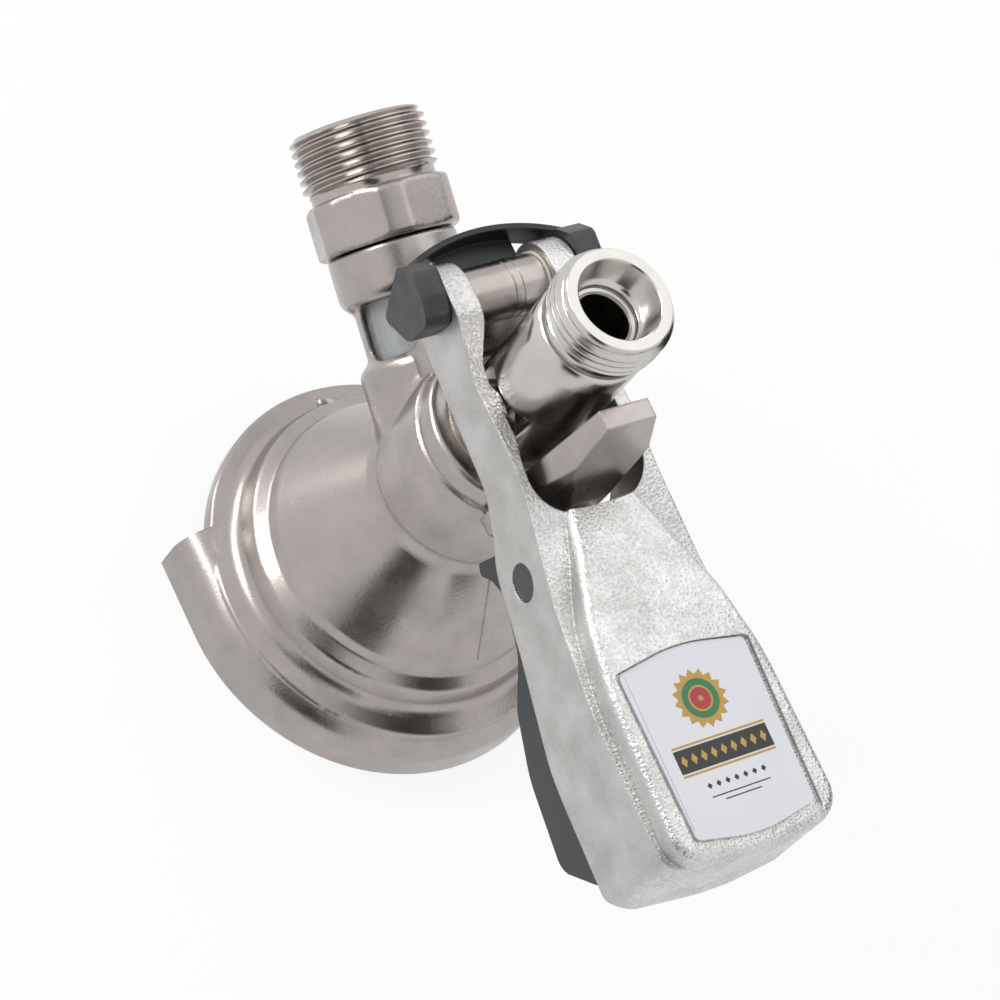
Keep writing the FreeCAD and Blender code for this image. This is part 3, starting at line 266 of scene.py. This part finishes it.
look = {"cast_stainless": cast_steel, "machined_stainless": turned_steel, "blasted_alloy": blasted_alloy,
        "trigger_plastic": moulded_nylon, "clip_plastic": black_acetal, "pin_plastic": pin_acetal,
        "label_vinyl": label_vinyl, "seal_rubber": seal_rubber, "sight_plastic": clear_tube,
        "bearing_plastic": bearing, "spring_steel": drawn_wire}
for name, item in nodes.items():
    item.data.materials.clear()
    item.data.materials.append(look[slots[name]])


# Shaping

def copy_of_node(name):
    """A node's mesh as one merged skin, in metres."""
    same_point = 0.0005 * MM
    bm = bmesh.new()
    bm.from_mesh(nodes[name].data)
    bmesh.ops.remove_doubles(bm, verts=bm.verts, dist=same_point)
    return bm


def everything(bm):
    """All of a mesh, as the bmesh operators take it."""
    return bm.verts[:] + bm.edges[:] + bm.faces[:]


def cut_off(bm, origin, direction):
    """Cuts away all that lies beyond a plane and closes the cut."""
    on_plane = 1e-7
    bmesh.ops.bisect_plane(bm, geom=everything(bm), dist=on_plane, plane_co=origin, plane_no=direction,
                           clear_outer=True)
    rim = [edge for edge in bm.edges if edge.is_boundary]
    bmesh.ops.triangle_fill(bm, use_beauty=True, use_dissolve=False, edges=rim)


def recast(bm, voxel, passes):
    """Skins a shape afresh with an even mesh and rounds its edges, as casting and blasting leave them."""
    mesh = bpy.data.meshes.new("blank")
    bm.to_mesh(mesh)
    bm.free()
    blank = bpy.data.objects.new("blank", mesh)
    bpy.context.scene.collection.objects.link(blank)
    skin = blank.modifiers.new("skin", "REMESH")
    skin.mode = "VOXEL"
    skin.voxel_size = voxel * MM
    graph = bpy.context.evaluated_depsgraph_get()
    skinned = bpy.data.meshes.new_from_object(blank.evaluated_get(graph))
    bpy.data.objects.remove(blank)
    bm = bmesh.new()
    bm.from_mesh(skinned)
    bpy.data.meshes.remove(skinned)
    for _ in range(passes):
        bmesh.ops.smooth_vert(bm, verts=bm.verts[:], factor=0.5, use_axis_x=True, use_axis_y=True,
                              use_axis_z=True)
    return bm


def joined(first, *others):
    """Puts separate shells into one mesh."""
    for other in others:
        scrap = bpy.data.meshes.new("scrap")
        other.to_mesh(scrap)
        other.free()
        first.from_mesh(scrap)
        bpy.data.meshes.remove(scrap)
    return first


def draw_rings(bm, edges, corners):
    """Draws a round opening on through rings of a given radius and level, and returns the last ring."""
    for radius, level in corners:
        made = bmesh.ops.extrude_edge_only(bm, edges=edges)["geom"]
        edges = [item for item in made if isinstance(item, bmesh.types.BMEdge) and item.is_boundary]
        for vert in {vert for edge in edges for vert in edge.verts}:
            flat = vert.co.xy.normalized() * radius
            vert.co = (flat.x, flat.y, level)
    return edges


def threaded_ring(crest, bottom, top, pitch, chamfer, above, below, steps=96):
    """A closed ring with an outside thread, spun with a climb of one pitch a turn; in millimetres.

    Above and below the thread, the ring goes on through corners of a given radius and level.
    """
    same_point, on_plane = 0.004, 1e-5
    depth = 0.64 * pitch
    root = crest - depth
    # One tooth: share of the pitch, and share of the depth. Its flanks are about 50 degrees apart
    tooth = [(0.0, 0.0), (0.08, 0.0), (0.13, 0.10), (0.37, 0.90), (0.42, 1.0), (0.58, 1.0), (0.63, 0.90),
             (0.87, 0.10), (0.92, 0.0), (1.0, 0.0)]
    start = bottom - 1.2 * pitch
    turns = math.ceil((top - start) / pitch) + 1
    bm = bmesh.new()
    verts = [bm.verts.new((root + rise * depth, 0, start + share * pitch)) for share, rise in tooth]
    edges = [bm.edges.new(pair) for pair in zip(verts, verts[1:])]
    bmesh.ops.spin(bm, geom=verts + edges, cent=(0, 0, 0), axis=(0, 0, 1), dvec=(0, 0, pitch / steps),
                   angle=math.tau * turns, steps=steps * turns, use_merge=False)
    bmesh.ops.remove_doubles(bm, verts=bm.verts, dist=same_point)
    for level, direction in ((bottom, -1), (top, 1)):
        bmesh.ops.bisect_plane(bm, geom=everything(bm), dist=on_plane, plane_co=(0, 0, level),
                               plane_no=(0, 0, direction), clear_outer=True)
    # The first and last turns are chamfered
    for vert in bm.verts:
        room = min(top - vert.co.z, vert.co.z - bottom)
        limit = crest - max(0.0, chamfer - room)
        reach = vert.co.xy.length
        if reach > limit:
            vert.co.xy *= limit / reach
    middle = (bottom + top) / 2
    open_edges = [edge for edge in bm.edges if edge.is_boundary]
    upper = draw_rings(bm, [edge for edge in open_edges if edge.verts[0].co.z > middle], above)
    lower = draw_rings(bm, [edge for edge in open_edges if edge.verts[0].co.z < middle], below)
    bmesh.ops.bridge_loops(bm, edges=upper + lower)
    return bm


def lathe(corners, steps=96):
    """A closed ring turned about Z from the corners of its section."""
    bm = bmesh.new()
    verts = [bm.verts.new((radius, 0, level)) for radius, level in corners]
    edges = [bm.edges.new(pair) for pair in zip(verts, verts[1:] + verts[:1])]
    bmesh.ops.spin(bm, geom=verts + edges, cent=(0, 0, 0), axis=(0, 0, 1), angle=math.tau, steps=steps,
                   use_merge=True)
    return bm


def new_piece(name, bm, body, slot, *materials, sharp=38):
    """Finishes a mesh as a piece that rides on a body and wears the materials given; slot is not used.

    Edges that turn by more than sharp, in degrees, stay crisp.
    """
    bmesh.ops.recalc_face_normals(bm, faces=bm.faces)
    for face in bm.faces:
        face.smooth = True
    mesh = bpy.data.meshes.new(name)
    bm.to_mesh(mesh)
    bm.free()
    mesh.set_sharp_from_angle(angle=math.radians(sharp))
    for material in materials:
        mesh.materials.append(material)
    piece = bpy.data.objects.new(name, mesh)
    bpy.context.scene.collection.objects.link(piece)
    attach(piece, body)
    return piece


# Pieces; their new shapes are in millimetres until they are placed

# Both pipe threads have 14 turns to the inch
PITCH = 25.4 / 14


def add_gas_nipple():
    """A cast hexagon, and above it a land and a thread cut on the lathe; levels run along the gas axis."""
    crest = mounts["gas_inlet"]["dims"]["r_mm"]
    land, thread_start, end = 57.2, 58.6, 70.4
    land_radius, bore = 12.15, 7.3
    seat, seat_level = 8.7, 60.2
    overlap = 0.3
    # The hexagon is screwed home with one flat turned to the left of the photograph
    hexagon_turn = -20
    bm = copy_of_node("gas_nipple")
    bm.transform(Matrix.Translation(gas_origin)
                 @ Matrix.Rotation(math.radians(hexagon_turn), 4, gas_direction)
                 @ Matrix.Translation(-gas_origin))
    cut_off(bm, gas_origin + gas_direction * land * MM, gas_direction)
    bm = recast(bm, voxel=0.35, passes=4)
    crown = threaded_ring(crest, thread_start, end, PITCH, chamfer=1.0,
                          above=[(12.0, end), (9.4, end), (seat, 69.9), (seat, seat_level),
                                 (bore, seat_level)],
                          below=[(land_radius, 58.4), (land_radius, land - overlap), (bore, land - overlap)])
    crown.transform(gas_place)
    for face in crown.faces:
        face.material_index = 1
    nipple = new_piece("gas_nipple_threaded", joined(bm, crown), "body", "cast_stainless", cast_steel,
                       thread_steel, sharp=50)
    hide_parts("gas_nipple")


def add_probe():
    """The tube up to just above its drive slots, and above it a turned barrel with a threaded mouth."""
    crest = mounts["beer_outlet"]["dims"]["r_mm"]
    join, thread_start, thread_end, end = 88.6, 110.3, 117.4, 118.5
    barrel, neck, seat, step, bore = 10.9, 10.55, 7.93, 6.5, 5.2
    bm = copy_of_node("probe_tube")
    cut_off(bm, (0, 0, join * MM), (0, 0, 1))
    # From the rim in over the washer's seat and the step, with its raised lip, down the bore
    inside = [(10.45, 117.6), (10.4, 118.2), (10.15, end), (8.25, end), (seat, 118.2), (seat, 112.1),
              (6.7, 111.9), (step, 111.7), (step, 110.7), (5.85, 110.5), (5.7, 110.8), (5.35, 110.8),
              (bore, 110.5), (bore, join)]
    # From the thread's neck down past a fine groove to the barrel
    outside = [(neck, 110.2), (neck, 108.0), (10.3, 107.75), (10.5, 107.55), (barrel, 107.15),
               (barrel, 102.0), (barrel, 95.0), (barrel, join)]
    mouth = threaded_ring(crest, thread_start, thread_end, PITCH, chamfer=0.9, above=inside, below=outside)
    mouth.transform(upright)
    probe = new_piece("probe_and_mouth", joined(bm, mouth), "probe", "machined_stainless", turned_steel,
                      sharp=30)
    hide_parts("probe_tube")


def add_barrel_rings():
    """Two fine witness rings where the hinge barrel was faced off."""
    inner, outer = 5.2, 5.5
    half_foot, half_top = 0.22, 0.1
    place = (Matrix.Translation(joints["handle_hinge"]["pos_m"]) @ Matrix.Rotation(-math.pi / 2, 4, "X")
             @ upright)
    bm = joined(*(lathe([(inner, level - half_foot), (outer, level - half_top), (outer, level + half_top),
                         (inner, level + half_foot)]) for level in (1.2, 3.0)))
    bm.transform(place)
    new_piece("barrel_rings", bm, "body", "cast_stainless", cast_steel)


def add_casting_marks():
    """A pip on the foot's disc, and the parting line down the bell in front."""
    pip, pip_half_size, pip_turn = (-34.0, 0.6, 14.1), (2.3, 1.5, 0.9), 1.2
    line_foot, line_head = Vector((28.3, 0, 24.3)), Vector((18.6, 0, 40.4))
    line_radius = 0.2
    bm = bmesh.new()
    bmesh.ops.create_uvsphere(bm, u_segments=24, v_segments=12, radius=1.0,
                              matrix=Matrix.Translation(pip) @ Matrix.Rotation(pip_turn, 4, "Z")
                              @ Matrix.Diagonal((*pip_half_size, 1)))
    run = line_head - line_foot
    slope = Vector((0, 0, 1)).rotation_difference(run.normalized()).to_matrix().to_4x4()
    bmesh.ops.create_cone(bm, cap_ends=True, segments=8, radius1=line_radius, radius2=line_radius,
                          depth=run.length, matrix=Matrix.Translation((line_foot + line_head) / 2) @ slope)
    bm.transform(upright)
    new_piece("casting_marks", bm, "body", "cast_stainless", cast_steel)


def add_trigger_spring():
    """Return spring: wire wound on the trigger's pin."""
    wire, winding, length = 0.55, 3.6, 6.2
    turns, steps = 5, 36
    place = (Matrix.Translation(joints["trigger_hinge"]["pos_m"]) @ Matrix.Rotation(math.pi / 2, 4, "X")
             @ upright)
    bm = bmesh.new()
    bmesh.ops.create_circle(bm, cap_ends=True, segments=12, radius=wire,
                            matrix=Matrix.Translation((winding, 0, -length / 2))
                            @ Matrix.Rotation(math.pi / 2, 4, "X"))
    bmesh.ops.spin(bm, geom=bm.verts[:] + bm.edges[:], cent=(0, 0, 0), axis=(0, 0, 1),
                   dvec=(0, 0, length / turns / steps), angle=math.tau * turns, steps=steps * turns,
                   use_merge=False)
    bmesh.ops.holes_fill(bm, edges=[edge for edge in bm.edges if edge.is_boundary])
    bm.transform(place)
    spring = new_piece("trigger_spring_wire", bm, "handle", "spring_steel", drawn_wire, sharp=60)
    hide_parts("trigger_spring")


# Label print

GOLD, BLACK, GREEN, RED, GREY = range(5)
SUNK = 0.15


def label_place():
    """The label's own plane, with x down the handle and z out of the label."""
    faces = [face for face in nodes["label_plate"].data.polygons if face.normal.z > 0.9]
    area = sum(face.area for face in faces)
    normal = sum((face.normal * face.area for face in faces), Vector()).normalized()
    centre = sum((face.center * face.area for face in faces), Vector()) / area
    down = (Vector((1, 0, 0)) - normal * normal.x).normalized()
    across = normal.cross(down)
    return Matrix.Translation(centre) @ Matrix((down, across, normal)).transposed().to_4x4() @ upright


def inlay(bm, ink, x, y, reach, segments, size=(1, 1), turn=0.0, petals=1.0, top=0.03):
    """One flat printed shape, sunk a little into the label; every second point may be drawn in or out."""
    centre = Vector((x, y, -SUNK))
    place = Matrix.Translation(centre) @ Matrix.Diagonal((*size, 1, 1)) @ Matrix.Rotation(turn, 4, "Z")
    made = bmesh.ops.create_circle(bm, cap_ends=True, segments=segments, radius=reach, matrix=place)
    verts = made["verts"]
    for vert in verts[::2]:
        vert.co = centre + (vert.co - centre) * petals
    face = verts[0].link_faces[0]
    before = set(bm.faces) - {face}
    grown = bmesh.ops.extrude_face_region(bm, geom=[face])["geom"]
    lifted = [item for item in grown if isinstance(item, bmesh.types.BMVert)]
    bmesh.ops.translate(bm, verts=lifted, vec=(0, 0, SUNK + top))
    for item in set(bm.faces) - before:
        item.material_index = ink


def bar(bm, ink, x, width, length, top, y=0):
    """A printed bar across the label: a circle of four points, turned square."""
    inlay(bm, ink, x, y, math.sqrt(0.5), 4, size=(width, length), turn=math.pi / 4, top=top)


def add_label_print():
    """A plain rosette, a band of lozenges between two lines, a row of small ones and two rules."""
    rosette, band, row = -7.6, 2.4, 7.9
    band_width, band_length = 4.4, 20.6
    bm = bmesh.new()
    inlay(bm, GOLD, rosette, 0, 4.6, 32, petals=1.24, top=0.02)
    inlay(bm, GREEN, rosette, 0, 3.8, 48, top=0.03)
    inlay(bm, GOLD, rosette, 0, 2.5, 48, top=0.04)
    inlay(bm, RED, rosette, 0, 2.1, 48, top=0.05)
    inlay(bm, GOLD, rosette, 0, 0.7, 16, petals=0.55, top=0.06)
    for edge_line in (-0.3, 5.1):
        bar(bm, GOLD, edge_line, 0.4, band_length, top=0.02)
    bar(bm, BLACK, band, band_width, band_length, top=0.03)
    for k in range(-4, 5):
        inlay(bm, GOLD, band, k * 2.2, 0.85, 4, size=(1.3, 0.8), top=0.04)
    for k in range(-3, 4):
        inlay(bm, BLACK, row, k * 2.0, 0.6, 4, size=(1.0, 0.9), top=0.03)
    for rule, length in ((10.0, 13.0), (11.0, 8.0)):
        bar(bm, BLACK, rule, 0.22, length, top=0.03)
    # The hairline down the label's side
    bar(bm, GREY, -0.5, 30.0, 0.14, top=0.02, y=-12.9)
    bm.transform(label_place())
    new_piece("label_print", bm, "handle", "label_vinyl", *inks)


add_gas_nipple()
add_probe()
add_barrel_rings()
add_casting_marks()
add_trigger_spring()
add_label_print()


# Studio

# The photograph's viewpoint, fitted to points measured on the object: which way its right and its back
# face, where it stands in those directions from the point that it aims at, and its lens, in millimetres
CAMERA_RIGHT = Vector((0.42094, 0.81634, 0.39532))
CAMERA_BACK = Vector((0.26453, -0.52726, 0.80748))
CAMERA_PLACE = Vector((2.529, -8.9, 800.0))
AIM = Vector((0, 0, 58.5))
LENS, SENSOR = 154.213, 36
# The middle of the object, in metres, which the lamps and cards face
MIDDLE = Vector((0.02, 0, 0.06))
# How much of the floor's own paint gives way to plain white where the floor is seen
FLOOR_GLOW = 0.88


def add_camera():
    """The photograph's view: from above and beside the lever, rolled so that it runs down the frame."""
    rotation = Matrix((CAMERA_RIGHT, CAMERA_BACK.cross(CAMERA_RIGHT), CAMERA_BACK)).transposed()
    data = bpy.data.cameras.new("photo_camera")
    data.lens = LENS
    data.sensor_width = SENSOR
    data.clip_start = 0.05
    camera = bpy.data.objects.new("photo_camera", data)
    bpy.context.scene.collection.objects.link(camera)
    place = rotation @ CAMERA_PLACE * MM + AIM * MM
    camera.matrix_world = Matrix.Translation(place) @ rotation.to_4x4()
    bpy.context.scene.camera = camera
    return rotation


def flat_board(name, width, height, material):
    """A flat rectangle about its own middle, in metres."""
    bm = bmesh.new()
    bmesh.ops.create_grid(bm, x_segments=1, y_segments=1, size=0.5,
                          matrix=Matrix.Diagonal((width, height, 1, 1)))
    mesh = bpy.data.meshes.new(name)
    bm.to_mesh(mesh)
    bm.free()
    mesh.materials.append(material)
    return bpy.data.objects.new(name, mesh)


def stand(item, direction, distance):
    """Puts a lamp or card at a distance from the object, facing it."""
    direction = Vector(direction).normalized()
    item.location = MIDDLE + direction * distance
    item.rotation_euler = direction.to_track_quat("Z", "Y").to_euler()
    bpy.context.scene.collection.objects.link(item)


def add_lamp(name, direction, distance, width, height, power):
    """A soft box: a rectangle of light, in metres and watts."""
    data = bpy.data.lights.new(name, "AREA")
    data.shape = "RECTANGLE"
    data.size, data.size_y = width, height
    data.energy = power
    stand(bpy.data.objects.new(name, data), direction, distance)


def add_card(name, direction, distance, width, height, material):
    """A dark card that only reflections see, as a studio sets beside bright metal."""
    card = flat_board(name, width, height, material)
    stand(card, direction, distance)
    card.visible_camera = card.visible_diffuse = card.visible_shadow = card.visible_transmission = False


def seen(tree):
    """One for what the camera sees, straight on, in a reflection or through something clear."""
    paths = add_node(tree, "ShaderNodeLightPath")
    direct = add_node(tree, "ShaderNodeMath", {"operation": "MAXIMUM"},
                      {0: paths.outputs["Is Camera Ray"], 1: paths.outputs["Is Glossy Ray"]})
    either = add_node(tree, "ShaderNodeMath", {"operation": "MAXIMUM"},
                      {0: direct.outputs[0], 1: paths.outputs["Is Transmission Ray"]})
    return either.outputs[0]


def painted_board():
    """Painted board: white to the camera and in reflections, and it keeps the shadow."""
    mottle_size = 25
    material, tree, principled = new_material("painted_board", rough=0.7)
    place = add_node(tree, "ShaderNodeTexCoord").outputs["Object"]
    mottle = add_node(tree, "ShaderNodeTexNoise", {"Scale": 1 / (mottle_size * MM), "Detail": 3.0},
                      {"Vector": place})
    tone = add_node(tree, "ShaderNodeMix", {"data_type": "RGBA", 6: linear("#F2F2F2"), 7: linear("#FBFBFB")},
                    {0: mottle.outputs[0]})
    tree.links.new(tone.outputs[2], principled.inputs["Base Color"])
    share = add_node(tree, "ShaderNodeMath", {"operation": "MULTIPLY", 1: FLOOR_GLOW}, {0: seen(tree)})
    glow = add_node(tree, "ShaderNodeEmission", {"Color": (1, 1, 1, 1), "Strength": 1.0})
    mix = add_node(tree, "ShaderNodeMixShader",
                   links={0: share.outputs[0], 1: principled.outputs[0], 2: glow.outputs[0]})
    output = next(node for node in tree.nodes if node.type == "OUTPUT_MATERIAL")
    tree.links.new(mix.outputs[0], output.inputs["Surface"])
    return material


def add_world():
    """A plain pale room: soft light on the object, and white where the camera sees it."""
    world = bpy.data.worlds.new("studio")
    bpy.context.scene.world = world
    world.use_nodes = True
    tree = world.node_tree
    tree.nodes.clear()
    plain = add_node(tree, "ShaderNodeBackground", {"Color": (1, 1, 1, 1), "Strength": 0.6})
    white = add_node(tree, "ShaderNodeBackground", {"Color": (1, 1, 1, 1), "Strength": 1.0})
    mix = add_node(tree, "ShaderNodeMixShader",
                   links={0: seen(tree), 1: plain.outputs[0], 2: white.outputs[0]})
    add_node(tree, "ShaderNodeOutputWorld", links={"Surface": mix.outputs[0]})


view = add_camera()
card_black = new_material("matte_card", colour=linear("#0A0A0B"), rough=0.9)[0]
floor = flat_board("floor", 6.0, 6.0, painted_board())
bpy.context.scene.collection.objects.link(floor)
add_world()

# Lamps and cards, by where they stand from the object: in the camera's right, up and back through view,
# or in the object's own directions. Then the distance and the size, and a lamp's power
add_lamp("key", view @ Vector((-0.55, 0.55, 0.62)), 0.8, 0.3, 0.3, 2.8)
add_lamp("top", view @ Vector((0.64, 0.70, 0.30)), 0.8, 0.7, 0.7, 1.0)
add_lamp("low_left", (-0.9, -0.45, 0.16), 0.7, 0.16, 0.3, 0.8)
add_card("camera_side", view @ Vector((0, 0, 1)), 0.95, 0.3, 0.5, card_black)
add_card("front_right", (0.65, -0.75, 0.14), 0.5, 0.3, 0.6, card_black)
add_card("back_right", (0.2, 0.95, 0.25), 0.5, 0.25, 0.5, card_black)

bpy.context.scene.view_settings.view_transform = "Standard"
